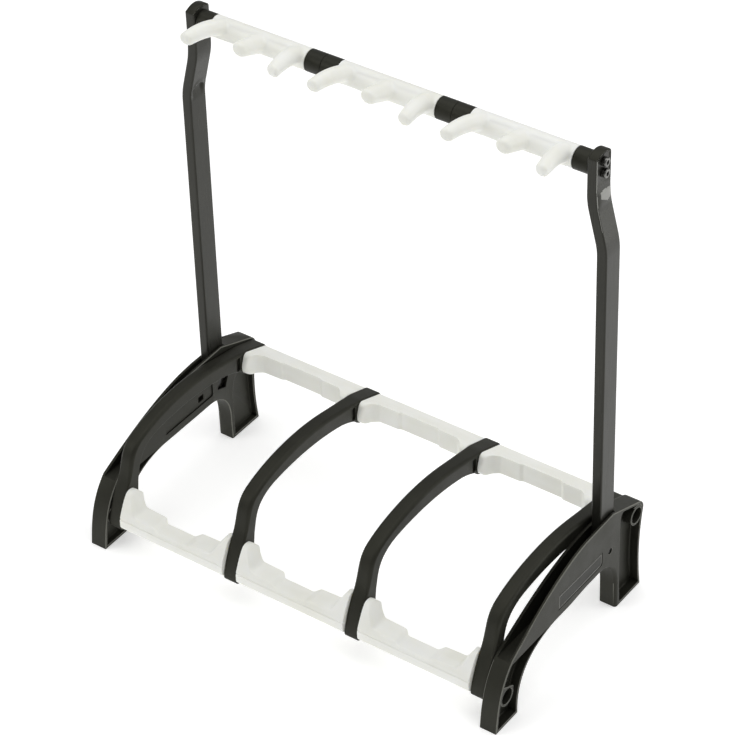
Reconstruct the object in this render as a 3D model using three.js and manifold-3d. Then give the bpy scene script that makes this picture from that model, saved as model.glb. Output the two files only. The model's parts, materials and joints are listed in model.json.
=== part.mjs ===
// Rack for three guitars. Two moulded side parts carry two steel cross tubes; four arches
// divide the rack into three bays, each with a soft front rest and a soft back rest. A frame
// of two tubular uprights and a neck bar folds forward about a pivot bolt in each side part.
//
// Units are millimetres. X runs across the rack, +Y is the back and +Z is up. Side-view
// outlines are drawn as (depth, height) with depth measured back from the front of the feet,
// and the group "stand" shifts them so that the origin is the centre of the footprint.

import * as THREE from "three";
import { mergeVertices } from "three/addons/utils/BufferGeometryUtils.js";
import Module from "manifold-3d";

// ---- Driving dimensions ----
const WIDTH = 475; // outside faces of the side parts
const DEPTH = 250.3; // front of the front foot to the rear top corner
const GAP = 0.3; // kept between pieces that touch
const SAME_POINT = 1e-4; // corners closer than this are one

const SIDE_THICKNESS = 18.4;
const OUTER_POCKET = 9.6; // depth of the pockets in the outer face
const INNER_POCKET = 6.5; // depth of the pockets in the inner face
const CHANNEL_WALL = 2.6;
const CHANNEL_FLOOR = 68.6; // height of the channel floor
const CHANNEL_FRONT = 27; // depth where the channel opens onto the front block
const BEAM_UNDERSIDE = 65.2; // straight lower edge between the feet
const REAR_FOOT_FRONT = 204.6;
const FOOT_EDGE = 3.6; // rounding of the outer edge between the feet
const BEAM_FLOOR = 66.3; // height where the foot pockets stop

const BAY_PITCH = 141.1; // spacing of the arches
const ARCH_WIDTH = 16;
const ARCH_EDGE = 2.6; // rounding of the arch edges
const ARCH_SLOT = { depth: 202, height: 103.5, length: 5.6, tall: 15, corner: 1.2, sunk: 2.5 };

const LABEL_SEAT = 1.1; // how deep the seat of the label is
const LABEL_THICKNESS = 0.7;
const CLIP_HOLE = { depth: 160, height: 81.5, length: 8.4, tall: 7, corner: 1.2 };

const FRONT_TUBE = { depth: 18, height: 34 };
const BACK_TUBE = { depth: 238, height: 91.5 };
const CROSS_TUBE_RADIUS = 6;
const CROSS_TUBE_WALL = 1.5;
const BOSS_RADIUS = 10.4;
const BOSS_BORE = 8.2;
const BOLT_RADIUS = 3;
const BOLT_HEAD = { radius: 5, height: 4 };
const BOLT_LENGTH = 24;
const PLUG_LENGTH = 20;

const PIVOT = { depth: 191.5, height: 81 };
const PIVOT_RADIUS = 3;
const PIVOT_HEAD = { radius: 4.4, height: 0.9 }; // hexagon at the inner end of the pivot bolt
const PIVOT_SUNK = 1; // how far the pivot bolt stays inside the outer face
const UPRIGHT_DEPTH = 23; // front to back
const UPRIGHT_THICKNESS = 10.5; // across the rack
const UPRIGHT_WALL = 1.5;
const UPRIGHT_EDGE = 1.2;
const CRANK_BOTTOM = 427; // the uprights bend inward between these heights
const CRANK_TOP = 473;
const CRANK_EASE = { before: 8, after: 10, shift: 2.3 }; // how far the two bends are rounded
const UPRIGHT_TOP = 522.5;
const CAP_SEAM = 517.5; // height of the seam under the cap, at its front and back edges
const CAP_SEAM_RISE = 3;
const PRESSED_FROM = 490; // lower end of the flat pressed into the outer face
const PRESSED_DEPTH = 1.2;
const PRESSED_REACH = 10.3; // half its width, front to back
const CAP_EDGE = 2;
const CAP_EDGE_HEIGHT = 0.8; // height of the cap's front and back edges above the seam
const CAP_SKIRT = 5; // how far the cap reaches down before its seat is cut
const UPRIGHT_LEAN = 1.2; // how far the straight part leans inward below the crank
const UPRIGHT_HIGH_X = 215.8; // centre of an upright above the crank

const NECK_AXIS = { depth: 191.5, height: 506.5 };
const NECK_RADIUS = 10.8; // outside of the sleeves and neck rests
const NECK_REST_LENGTH = 106;
const HORN_ROOT_X = 41.9; // the two outer horns of a neck rest, either side of its middle
const HORN_TIP = { x: 48.4, depth: 144, height: 519.6 };
const HORN_RADII = [9, 8.2, 6.8];
const HORN_LIFT = 1.8; // how far the horns leave the bar above its axis
const HORN_BOW = 3.7;
const PRONG_TIP = { x: 0, depth: 159, height: 516.6 }; // the short middle prong
const PRONG_RADII = [10.4, 9, 7.8];
const TIP_ROUNDING = 0.7; // share of a tip's radius that is rounded off
const NECK_CORE = { depth: 10, height: 18 };
const NECK_CORE_WALL = 1.6;
const NECK_SCREW_PITCH = 11.5;
const NECK_SCREW_RADIUS = 1.5;
const NECK_SCREW_HEAD = { radius: 4.5, height: 4.4 };
const NECK_SCREW_LENGTH = 22;
const NECK_BLOCK_LENGTH = 16;

// ---- Finishes ----
function finish(color, roughness, metalness) {
  return () => new THREE.MeshStandardMaterial({ color, roughness, metalness });
}

const plastic = finish(0x34342e, 0.5, 0);
const coated = finish(0x2c2c29, 0.38, 0.25);
const milky = finish(0xe4e5e0, 0.42, 0);
const steel = finish(0xb4b4b0, 0.3, 1);
const blackSteel = finish(0x1c1c1c, 0.35, 0.8);
const labelBlack = finish(0x1c1c1c, 0.4, 0);

// ---- Solids: join, cut and intersect closed geometries ----
const wasm = await Module();
wasm.setup();

function toSolid(geometry) {
  let plain = geometry.clone();
  plain.deleteAttribute("normal");
  plain.deleteAttribute("uv");
  plain = mergeVertices(plain, SAME_POINT);
  return new wasm.Manifold(
    new wasm.Mesh({
      numProp: 3,
      vertProperties: new Float32Array(plain.attributes.position.array),
      triVerts: new Uint32Array(plain.index.array),
    }),
  );
}

function toGeometry(solid) {
  const mesh = solid.getMesh();
  const geometry = new THREE.BufferGeometry();
  const positions = new Float32Array(mesh.vertProperties);
  geometry.setAttribute("position", new THREE.BufferAttribute(positions, 3));
  geometry.setIndex(new THREE.BufferAttribute(new Uint32Array(mesh.triVerts), 1));
  geometry.computeVertexNormals();
  return geometry;
}

function combine(operation, first, others) {
  let solid = toSolid(first);
  for (const other of others) solid = solid[operation](toSolid(other));
  return toGeometry(solid);
}

const cut = (first, ...others) => combine("subtract", first, others);
const join = (first, ...others) => combine("add", first, others);
const common = (first, ...others) => combine("intersect", first, others);

function mirrored(geometry) {
  const copy = geometry.clone();
  copy.scale(-1, 1, 1);
  const index = copy.index.array;
  for (let i = 0; i < index.length; i += 3) {
    [index[i], index[i + 1]] = [index[i + 1], index[i]];
  }
  copy.computeVertexNormals();
  return copy;
}

// ---- Drawing helpers ----
function outline(draw) {
  const shape = new THREE.Shape();
  draw(shape);
  shape.closePath();
  return shape;
}

const polygon = (points) => new THREE.Shape(points.map(([a, b]) => new THREE.Vector2(a, b)));

// A rectangle with round corners, "length" front to back and "tall" upward.
function roundedBox({ depth, height, length, tall, corner }) {
  const [a, b] = [length / 2 - corner, tall / 2 - corner];
  return outline((s) => {
    s.absarc(depth + a, height + b, corner, 0, Math.PI / 2);
    s.absarc(depth - a, height + b, corner, Math.PI / 2, Math.PI);
    s.absarc(depth - a, height - b, corner, Math.PI, 1.5 * Math.PI);
    s.absarc(depth + a, height - b, corner, 1.5 * Math.PI, 2 * Math.PI);
  });
}

// A shape made "length" thick about its own plane, with its rims cut off by "edge".
function extrude(shape, length, { edge = 0, curveSegments = 6 } = {}) {
  const geometry = new THREE.ExtrudeGeometry(shape, {
    depth: length - 2 * edge,
    bevelEnabled: edge > 0,
    bevelThickness: edge,
    bevelSize: edge,
    bevelOffset: -edge,
    bevelSegments: 1,
    steps: 1,
    curveSegments,
  });
  geometry.translate(0, 0, edge - length / 2);
  return geometry;
}

const vector = (x, y, z) => new THREE.Vector3(x, y, z);
const SIDE_VIEW = new THREE.Matrix4().makeBasis(vector(0, 1, 0), vector(0, 0, 1), vector(1, 0, 0));
const FRONT_VIEW = new THREE.Matrix4().makeBasis(vector(1, 0, 0), vector(0, 0, 1), vector(0, -1, 0));

// A (depth, height) outline made "length" thick across the rack, centred on x.
function sideSlab(shape, length, x = 0, options = {}) {
  return extrude(shape, length, options).applyMatrix4(SIDE_VIEW).translate(x, 0, 0);
}

// A side-view slab that grows by "flare" all round over its last stretch, towards +x.
function flaredSlab(shape, length, flare, end) {
  const geometry = new THREE.ExtrudeGeometry(shape, {
    depth: length,
    bevelEnabled: true,
    bevelThickness: flare,
    bevelSize: flare,
    bevelOffset: 0,
    bevelSegments: 2,
    curveSegments: 7,
  });
  return geometry.applyMatrix4(SIDE_VIEW).translate(end - length, 0, 0);
}

// An (x, height) outline made "length" thick front to back, centred on depth.
function frontSlab(shape, length, depth = 0, options = {}) {
  return extrude(shape, length, options).applyMatrix4(FRONT_VIEW).translate(0, depth, 0);
}

// An (x, depth) outline made "length" thick, centred on height.
function planSlab(shape, length, height = 0, options = {}) {
  return extrude(shape, length, options).translate(0, 0, height);
}

// A round bar along x from one x to the other.
function barX(radius, from, to, { depth, height }, sides = 24) {
  const bar = new THREE.CylinderGeometry(radius, radius, to - from, sides);
  return bar.rotateZ(-Math.PI / 2).translate((from + to) / 2, depth, height);
}

const stand = new THREE.Group();
stand.position.y = -DEPTH / 2;

function place(parent, name, geometry, material, x = 0) {
  const mesh = new THREE.Mesh(geometry, material);
  mesh.name = name;
  mesh.position.x = x;
  parent.add(mesh);
  return mesh;
}

// ---- Side part: local x is 0 at its inner face and SIDE_THICKNESS at its outer face ----
const sideOutline = outline((s) => {
  s.moveTo(0, 0);
  s.bezierCurveTo(3, 30, 8, 52, CHANNEL_FRONT, 70.5);
  s.bezierCurveTo(66, 94, 106, 117, 150, 121.8);
  s.lineTo(196, 123.3);
  s.lineTo(243, 105);
  s.quadraticCurveTo(250, 102, DEPTH, 95);
  s.bezierCurveTo(243, 62, 243.5, 30, 248.2, 0);
  s.lineTo(REAR_FOOT_FRONT, 0);
  s.lineTo(REAR_FOOT_FRONT - 0.6, 30);
  s.bezierCurveTo(REAR_FOOT_FRONT - 1, 50, 193, BEAM_UNDERSIDE, 173, BEAM_UNDERSIDE);
  s.lineTo(96, BEAM_UNDERSIDE);
  s.bezierCurveTo(64, 62, 34, 50, 35.4, 0);
});

// Between the feet, the edge of the outer face is rounded off to this outline.
const undersideFlare = outline((s) => {
  s.moveTo(REAR_FOOT_FRONT, -6);
  s.lineTo(REAR_FOOT_FRONT - 0.6, 30);
  s.bezierCurveTo(REAR_FOOT_FRONT - 1, 50, 193, BEAM_UNDERSIDE, 173, BEAM_UNDERSIDE);
  s.lineTo(150, BEAM_UNDERSIDE);
  s.lineTo(100, BEAM_UNDERSIDE - FOOT_EDGE - 0.4);
  s.lineTo(100, 40);
  s.lineTo(190, -6);
});

// One of the channel walls is lower than the other.
const lowWallTop = outline((s) => {
  s.moveTo(CHANNEL_FRONT - 4, 66);
  s.lineTo(CHANNEL_FRONT, 70);
  s.bezierCurveTo(66, 88, 106, 105, 150, 111);
  s.lineTo(170, 112.5);
  s.lineTo(188, 112.3);
  s.lineTo(204, 116.5);
  s.lineTo(218, 113);
  s.lineTo(218, 140);
  s.lineTo(CHANNEL_FRONT - 4, 140);
});

const frontPocket = outline((s) => {
  s.moveTo(3, 3);
  s.bezierCurveTo(6, 31, 11, 51, 26, BEAM_FLOOR);
  s.lineTo(93, BEAM_FLOOR);
  s.bezierCurveTo(60, 62, 31.5, 50, 33, 3);
});

const rearOuterPocket = outline((s) => {
  s.moveTo(210.8, 3);
  s.lineTo(208.5, 40);
  s.lineTo(208.5, 100);
  s.quadraticCurveTo(209, 114.5, 215, 113.2);
  s.lineTo(241, 103);
  s.quadraticCurveTo(247, 100.5, 247.4, 95);
  s.bezierCurveTo(240.5, 62, 241, 30, 245.3, 3);
});

const rearInnerPocket = outline((s) => {
  s.moveTo(208.6, 3);
  s.lineTo(208.6, 50);
  s.quadraticCurveTo(208.8, 72, 218, 78);
  s.lineTo(243.6, 82);
  s.bezierCurveTo(240.6, 55, 241, 30, 245.3, 3);
});

const labelSeat = polygon([[103, 74], [176.5, 74], [178, 76], [178, 89.5], [103, 91.5]]);
const labelPlate = polygon([[103.5, 74.3], [176, 74.3], [177.4, 76.2], [177.4, 89.1], [103.5, 91.1]]);
const pivotWindow = polygon([[185.5, 76], [190, 88.5], [203.5, 84], [198, 71.5]]);

// Gussets from the bosses to the nearest rim.
const frontGusset = polygon([[5, 38], [12, 48.5], [28.3, 40], [28.3, 33], [18, 34]]);
const backGusset = polygon([[238, 100], [232, 104], [243, 103], [248.6, 95], [247, 84], [240, 90]]);

// The right part carries its label outside and its low wall inside. On the left part the
// label seat is on the inner face, beside a window onto the pivot, and the low wall is outside.
function sidePart(isRight) {
  const T = SIDE_THICKNESS;
  const web = { from: INNER_POCKET, to: T - OUTER_POCKET };
  const outerCut = (shape, depth) => sideSlab(shape, depth + 1, T - depth / 2 + 0.5);
  const innerCut = (shape, depth) => sideSlab(shape, depth + 1, depth / 2 - 0.5);
  const labelCut = isRight ? outerCut : innerCut;
  const lowWallX = isRight ? CHANNEL_WALL / 2 : T - CHANNEL_WALL / 2;

  let body = sideSlab(sideOutline, T, T / 2, { curveSegments: 7 });
  body = cut(
    body,
    flaredSlab(undersideFlare, 4, FOOT_EDGE, T + FOOT_EDGE),
    outerCut(frontPocket, OUTER_POCKET),
    outerCut(rearOuterPocket, OUTER_POCKET),
    innerCut(frontPocket, INNER_POCKET),
    innerCut(rearInnerPocket, INNER_POCKET),
  );

  // Bosses for the cross tubes, tied to the nearest rim by a gusset.
  const bossWidth = T - web.from;
  body = join(
    body,
    barX(BOSS_RADIUS, web.from, T, FRONT_TUBE, 20),
    barX(BOSS_RADIUS, 0, web.to, FRONT_TUBE, 20),
    barX(BOSS_RADIUS, web.from, T, BACK_TUBE, 20),
    sideSlab(frontGusset, bossWidth, T - bossWidth / 2),
    sideSlab(backGusset, bossWidth, T - bossWidth / 2),
  );

  // The channel that takes the folded upright, open at the top and at the front.
  const channelBack = PIVOT.depth + UPRIGHT_DEPTH / 2 + GAP;
  const channel = polygon([
    [CHANNEL_FRONT - 22, CHANNEL_FLOOR],
    [channelBack, CHANNEL_FLOOR],
    [channelBack, DEPTH],
    [CHANNEL_FRONT - 22, DEPTH],
  ]);
  body = cut(
    body,
    sideSlab(channel, T - 2 * CHANNEL_WALL, T / 2),
    sideSlab(lowWallTop, CHANNEL_WALL + 2, lowWallX),
  );

  // Holes: tube seats and bolt holes in the bosses, the pivot, the label seat and its clip hole.
  const cuts = [
    labelCut(labelSeat, LABEL_SEAT),
    labelCut(roundedBox(CLIP_HOLE), CHANNEL_WALL),
    barX(PIVOT_RADIUS + GAP, T - CHANNEL_WALL - 1, T + 1, PIVOT, 20),
  ];
  if (!isRight) cuts.push(innerCut(pivotWindow, CHANNEL_WALL));
  for (const seat of [FRONT_TUBE, BACK_TUBE]) {
    cuts.push(
      barX(BOSS_BORE, web.to, T + 1, seat, 18),
      barX(BOLT_RADIUS + GAP, web.from - 1, T, seat, 12),
      barX(CROSS_TUBE_RADIUS + GAP, -1, web.from, seat, 18),
    );
  }
  return cut(body, ...cuts);
}

// ---- Arch: a bow over the bay with a head around each rest ----
const archOutline = outline((s) => {
  s.moveTo(8, 29.5);
  s.bezierCurveTo(10, 42, 17, 57, 24.5, 71);
  s.bezierCurveTo(32, 85, 30, 104, 48, 112.5);
  s.bezierCurveTo(72, 123.5, 106, 127, 132, 126.2);
  s.bezierCurveTo(165, 125, 190, 117.5, 218, 111.5);
  s.lineTo(243.5, 102.8);
  s.quadraticCurveTo(247.8, 101, 247.8, 96);
  s.lineTo(247.5, 86);
  s.quadraticCurveTo(246, 80.8, 240, 80.8);
  s.lineTo(222, 82.5);
  s.quadraticCurveTo(208, 86, 205, 92);
  s.quadraticCurveTo(194, 98.5, 182, 102);
  s.bezierCurveTo(150, 110, 110, 112.5, 73, 106.8);
  s.bezierCurveTo(44, 101, 44.5, 84, 40.2, 69);
  s.lineTo(38.8, 58);
  s.bezierCurveTo(39, 40, 34, 24, 18, 23.8);
  s.quadraticCurveTo(8, 23.8, 8, 29.5);
});

function arch(width) {
  const slot = roundedBox(ARCH_SLOT);
  return cut(
    sideSlab(archOutline, width, 0, { edge: ARCH_EDGE, curveSegments: 4 }),
    sideSlab(slot, 2 * ARCH_SLOT.sunk, width / 2),
    sideSlab(slot, 2 * ARCH_SLOT.sunk, -width / 2),
    barX(CROSS_TUBE_RADIUS + GAP, -width, width, FRONT_TUBE, 18),
    barX(CROSS_TUBE_RADIUS + GAP, -width, width, BACK_TUBE, 18),
  );
}

// ---- Rests: a side-view section trimmed by front-view and top-view outlines ----
const restLength = BAY_PITCH - ARCH_WIDTH - 2 * GAP;
const REST_END = restLength / 2;

function mirroredPoints(half) {
  const left = half.map(([x, y]) => [-x, y]).reverse();
  return [...left, ...half];
}

function frontRest() {
  const section = outline((s) => {
    s.moveTo(6.2, 36);
    s.lineTo(6.2, 40.6);
    s.lineTo(7.4, 41.6);
    s.lineTo(7, 43);
    s.bezierCurveTo(9, 47, 14, 60, 19, 65.5);
    s.bezierCurveTo(22, 68.6, 27, 68.4, 30, 65.6);
    s.lineTo(37.6, 57.6);
    s.bezierCurveTo(38, 42, 34, 26.4, 20, 26.2);
    s.quadraticCurveTo(9.5, 26.4, 6.2, 36);
  });
  // Heights from the middle of the bay outwards: valley, step, and a bump by each arch.
  const valley = [[17.4, 45], [22.5, 47.6], [45.3, 48.6]];
  const bump = [[48.6, 51], [51.8, 57.2], [54.2, 62.8], [58, 68], [REST_END, 69]];
  const front = mirroredPoints([...valley, ...bump, [REST_END, 20]]);
  // The back of the rest is set forward in the middle.
  const depths = [[17.4, 25], [20.5, 29.6], [46, 29.6], [51.8, 32.5], [56, 38], [REST_END, 39]];
  const plan = mirroredPoints([...depths, [REST_END, 0]]);
  const blank = sideSlab(section, restLength, 0, { curveSegments: 5 });
  const trimmed = common(blank, frontSlab(polygon(front), 100, 20), planSlab(polygon(plan), 200));
  return cut(trimmed, barX(CROSS_TUBE_RADIUS + GAP, -REST_END - 1, REST_END + 1, FRONT_TUBE, 18));
}

function backRest() {
  const section = outline((s) => {
    s.moveTo(211.5, 89);
    s.quadraticCurveTo(205.5, 90.5, 205.7, 98.5);
    s.lineTo(209.3, 108.6);
    s.quadraticCurveTo(211, 112.4, 215.5, 112.2);
    s.lineTo(243.2, 102);
    s.quadraticCurveTo(246.6, 100.6, 246.6, 97);
    s.lineTo(246.6, 87.5);
    s.quadraticCurveTo(246, 83, 240, 82.8);
    s.lineTo(221, 88.2);
  });
  // Front edge of the rest from the middle of the bay outwards: it is thicker by the arches.
  const thin = [[22.5, 224.2], [23.5, 222], [46, 221.4]];
  const thick = [[52, 216.5], [56, 208], [59, 205.7], [REST_END, 205.5]];
  const plan = mirroredPoints([...thin, ...thick, [REST_END, DEPTH + 10]]);
  const blank = sideSlab(section, restLength, 0, { curveSegments: 5 });
  const trimmed = common(blank, planSlab(polygon(plan), 300, 100));
  return cut(trimmed, barX(CROSS_TUBE_RADIUS + GAP, -REST_END - 1, REST_END + 1, BACK_TUBE, 18));
}

// ---- Cross tube, its end plugs and its bolts ----
const TUBE_END = WIDTH / 2 - SIDE_THICKNESS + INNER_POCKET - GAP;

function crossTube(seat) {
  return cut(
    barX(CROSS_TUBE_RADIUS, -TUBE_END, TUBE_END, seat, 18),
    barX(CROSS_TUBE_RADIUS - CROSS_TUBE_WALL, -TUBE_END - 1, TUBE_END + 1, seat, 18),
  );
}

function tubePlug(seat) {
  return cut(
    barX(CROSS_TUBE_RADIUS - CROSS_TUBE_WALL - GAP, TUBE_END - PLUG_LENGTH, TUBE_END, seat, 16),
    barX(BOLT_RADIUS + GAP, TUBE_END - PLUG_LENGTH - 1, TUBE_END + 1, seat, 12),
  );
}

// A domed screw head with a hexagon socket, standing on x = from.
function socketHead({ radius, height }, from, centre) {
  const profile = [[0, 0], [radius, 0], [radius, height * 0.35], [radius * 0.62, height], [0, height]];
  const head = new THREE.LatheGeometry(profile.map(([r, h]) => new THREE.Vector2(r, h)), 16);
  const socket = new THREE.CylinderGeometry(radius * 0.34, radius * 0.34, height * 1.4, 6);
  socket.translate(0, height, 0);
  return cut(head, socket).rotateZ(-Math.PI / 2).translate(from, centre.depth, centre.height);
}

function tubeBolt(seat) {
  const headFrom = WIDTH / 2 - OUTER_POCKET + GAP;
  const shank = barX(BOLT_RADIUS, headFrom - BOLT_LENGTH, headFrom + 0.4, seat, 12);
  return join(shank, socketHead(BOLT_HEAD, headFrom, seat));
}

// ---- Upright: a rectangular tube, cranked inward and pressed flat at the top ----
const UPRIGHT_LOW_X = WIDTH / 2 - SIDE_THICKNESS / 2;
const UPRIGHT_BEND_X = UPRIGHT_LOW_X - UPRIGHT_LEAN;
const HALF_THICKNESS = UPRIGHT_THICKNESS / 2;
const PRESS_TOOL = 3; // thickness of the solid that cuts the pressed flat

// The middle of the lower (-0.5) or upper (0.5) neck screw.
function screwCentre(step) {
  return { depth: NECK_AXIS.depth, height: NECK_AXIS.height + step * NECK_SCREW_PITCH };
}

// The tube seen from the front, as an (x, height) outline with half thickness "half".
function crankedOutline(half, bottom, top) {
  const slant = Math.atan2(UPRIGHT_BEND_X - UPRIGHT_HIGH_X, CRANK_TOP - CRANK_BOTTOM);
  const bend = half * Math.tan(slant / 2);
  const leanRate = UPRIGHT_LEAN / (CRANK_BOTTOM - PIVOT.height);
  const lowX = UPRIGHT_LOW_X + leanRate * (PIVOT.height - bottom);
  const { before, after, shift } = CRANK_EASE;
  return outline((s) => {
    s.moveTo(lowX + half, bottom);
    let x = UPRIGHT_BEND_X + half;
    s.lineTo(x, CRANK_BOTTOM - before);
    s.quadraticCurveTo(x, CRANK_BOTTOM + bend, x - shift, CRANK_BOTTOM + after);
    x = UPRIGHT_HIGH_X + half;
    s.lineTo(x + shift, CRANK_TOP - after);
    s.quadraticCurveTo(x, CRANK_TOP + bend, x, CRANK_TOP + before);
    s.lineTo(x, top);
    x = UPRIGHT_HIGH_X - half;
    s.lineTo(x, top);
    s.lineTo(x, CRANK_TOP + before);
    s.quadraticCurveTo(x, CRANK_TOP - bend, x + shift, CRANK_TOP - after);
    x = UPRIGHT_BEND_X - half;
    s.lineTo(x - shift, CRANK_BOTTOM + after);
    s.quadraticCurveTo(x, CRANK_BOTTOM - bend, x, CRANK_BOTTOM - before);
    s.lineTo(lowX - half, bottom);
  });
}

// Seen from the side the lower end is a half circle about the pivot.
function uprightSilhouette(top, rise) {
  const halfDepth = UPRIGHT_DEPTH / 2;
  return outline((s) => {
    s.absarc(PIVOT.depth, PIVOT.height, halfDepth, Math.PI, 2 * Math.PI);
    s.lineTo(PIVOT.depth + halfDepth, top);
    s.quadraticCurveTo(PIVOT.depth, top + 2 * rise, PIVOT.depth - halfDepth, top);
  });
}

function upright() {
  const bottom = PIVOT.height - UPRIGHT_DEPTH / 2;
  const outside = crankedOutline(HALF_THICKNESS, bottom, UPRIGHT_TOP);
  const inside = crankedOutline(HALF_THICKNESS - UPRIGHT_WALL, bottom - 5, PRESSED_FROM - 4);
  const edge = UPRIGHT_EDGE;
  const blank = frontSlab(outside, UPRIGHT_DEPTH, PIVOT.depth, { edge, curveSegments: 4 });
  const hollowDepth = UPRIGHT_DEPTH - 2 * UPRIGHT_WALL;
  const hollow = frontSlab(inside, hollowDepth, PIVOT.depth, { curveSegments: 4 });
  // The flat where the screws sit is pressed in from the outer face.
  const flat = outline((s) => {
    s.moveTo(PIVOT.depth - PRESSED_REACH, PRESSED_FROM);
    s.quadraticCurveTo(PIVOT.depth, PRESSED_FROM + 5, PIVOT.depth + PRESSED_REACH, PRESSED_FROM - 1);
    s.lineTo(PIVOT.depth + PRESSED_REACH, CAP_SEAM - 0.7);
    s.quadraticCurveTo(PIVOT.depth, CAP_SEAM + 3.3, PIVOT.depth - PRESSED_REACH, CAP_SEAM - 0.7);
  });
  const cuts = [
    hollow,
    sideSlab(flat, PRESS_TOOL, UPRIGHT_HIGH_X + HALF_THICKNESS - PRESSED_DEPTH + PRESS_TOOL / 2),
    barX(PIVOT_RADIUS + GAP, UPRIGHT_LOW_X - 20, UPRIGHT_LOW_X + 20, PIVOT, 20),
  ];
  const [from, to] = [UPRIGHT_HIGH_X - 20, UPRIGHT_HIGH_X + 20];
  for (const step of [-0.5, 0.5]) {
    cuts.push(barX(NECK_SCREW_RADIUS + GAP, from, to, screwCentre(step), 14));
  }
  const silhouette = uprightSilhouette(CAP_SEAM, CAP_SEAM_RISE);
  const rounded = common(blank, sideSlab(silhouette, 60, UPRIGHT_LOW_X - 8, { curveSegments: 6 }));
  return cut(rounded, ...cuts);
}

// The rounded cap on top of an upright.
function uprightCap() {
  const halfDepth = UPRIGHT_DEPTH / 2;
  const base = CAP_SEAM + CAP_EDGE_HEIGHT;
  const rise = UPRIGHT_TOP - base;
  const radius = (halfDepth ** 2 + rise ** 2) / (2 * rise);
  const angle = Math.asin(halfDepth / radius);
  const dome = outline((s) => {
    s.moveTo(PIVOT.depth - halfDepth, CAP_SEAM - CAP_SKIRT);
    s.lineTo(PIVOT.depth + halfDepth, CAP_SEAM - CAP_SKIRT);
    s.absarc(PIVOT.depth, UPRIGHT_TOP - radius, radius, Math.PI / 2 - angle, Math.PI / 2 + angle);
  });
  const blank = sideSlab(dome, UPRIGHT_THICKNESS, UPRIGHT_HIGH_X, { edge: CAP_EDGE, curveSegments: 8 });
  const seat = sideSlab(uprightSilhouette(CAP_SEAM + GAP, CAP_SEAM_RISE), 60, UPRIGHT_HIGH_X);
  return cut(blank, seat);
}

function pivotBolt() {
  const outer = WIDTH / 2 - PIVOT_SUNK;
  const inner = WIDTH / 2 - SIDE_THICKNESS + CHANNEL_WALL + GAP;
  return join(
    barX(PIVOT_RADIUS, inner, outer, PIVOT, 20),
    barX(PIVOT_HEAD.radius, inner, inner + PIVOT_HEAD.height, PIVOT, 6),
  );
}

// ---- Neck bar: a flat core tube with threaded end blocks, sleeves and soft rests ----
const neckBarEnd = UPRIGHT_HIGH_X - HALF_THICKNESS - GAP;

function box(width, depth, height, x, centre) {
  return new THREE.BoxGeometry(width, depth, height).translate(x, centre.depth, centre.height);
}

function neckCore() {
  const { depth, height } = NECK_CORE;
  return cut(
    box(2 * neckBarEnd, depth, height, 0, NECK_AXIS),
    box(2 * neckBarEnd + 2, depth - 2 * NECK_CORE_WALL, height - 2 * NECK_CORE_WALL, 0, NECK_AXIS),
  );
}

function neckBlock() {
  const depth = NECK_CORE.depth - 2 * NECK_CORE_WALL - 2 * GAP;
  const height = NECK_CORE.height - 2 * NECK_CORE_WALL - 2 * GAP;
  const from = neckBarEnd - NECK_BLOCK_LENGTH;
  const block = box(NECK_BLOCK_LENGTH, depth, height, from + NECK_BLOCK_LENGTH / 2, NECK_AXIS);
  const hole = (step) => barX(NECK_SCREW_RADIUS + GAP, from - 1, neckBarEnd + 1, screwCentre(step), 12);
  return cut(block, hole(-0.5), hole(0.5));
}

function neckScrew(step) {
  const headFrom = UPRIGHT_HIGH_X + HALF_THICKNESS - PRESSED_DEPTH + GAP;
  const centre = screwCentre(step);
  return join(
    barX(NECK_SCREW_RADIUS, headFrom - NECK_SCREW_LENGTH, headFrom + 0.4, centre, 12),
    socketHead(NECK_SCREW_HEAD, headFrom, centre),
  );
}

const CORE_HOLE = { depth: NECK_CORE.depth + 2 * GAP, height: NECK_CORE.height + 2 * GAP };

function neckSleeve(length) {
  return cut(
    barX(NECK_RADIUS, -length / 2, length / 2, NECK_AXIS, 24),
    box(length + 2, CORE_HOLE.depth, CORE_HOLE.height, 0, NECK_AXIS),
  );
}

// A tapered horn with a round tip, arched upward by "bow" half way along. Its axis runs from
// "lift" above the bar's axis to the middle of the tip, with radii given at the bar, half way
// along and at the tip.
function prong(rootX, tip, [rootRadius, middleRadius, tipRadius], lift = 0, bow = 0) {
  const reach = NECK_AXIS.depth - tip.depth;
  const rounding = TIP_ROUNDING * tipRadius;
  const profile = new THREE.Path();
  profile.moveTo(0, 0);
  profile.lineTo(rootRadius, 0);
  profile.quadraticCurveTo(middleRadius, reach * 0.45, tipRadius, reach);
  profile.absarc(tipRadius - rounding, reach, rounding, 0, Math.PI / 2);
  profile.lineTo(0, reach + rounding);
  const horn = new THREE.LatheGeometry(profile.getPoints(3), 12).rotateX(-Math.PI / 2);
  const points = horn.attributes.position;
  for (let i = 0; i < points.count; i++) {
    const t = Math.abs(points.getZ(i)) / reach;
    const rise = lift + (tip.height - NECK_AXIS.height - lift) * t + 4 * bow * t * Math.max(0, 1 - t);
    points.setXYZ(
      i,
      rootX + (tip.x - rootX) * t + points.getX(i),
      NECK_AXIS.depth - reach * t,
      NECK_AXIS.height + rise - points.getY(i),
    );
  }
  return horn;
}

function neckRest() {
  const body = barX(NECK_RADIUS, -NECK_REST_LENGTH / 2, NECK_REST_LENGTH / 2, NECK_AXIS, 24);
  const tip = (side) => ({ ...HORN_TIP, x: side * HORN_TIP.x });
  const horn = (side) => prong(side * HORN_ROOT_X, tip(side), HORN_RADII, HORN_LIFT, HORN_BOW);
  return cut(
    join(body, horn(-1), horn(1), prong(0, PRONG_TIP, PRONG_RADII)),
    box(NECK_REST_LENGTH + 2, CORE_HOLE.depth, CORE_HOLE.height, 0, NECK_AXIS),
  );
}

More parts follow.
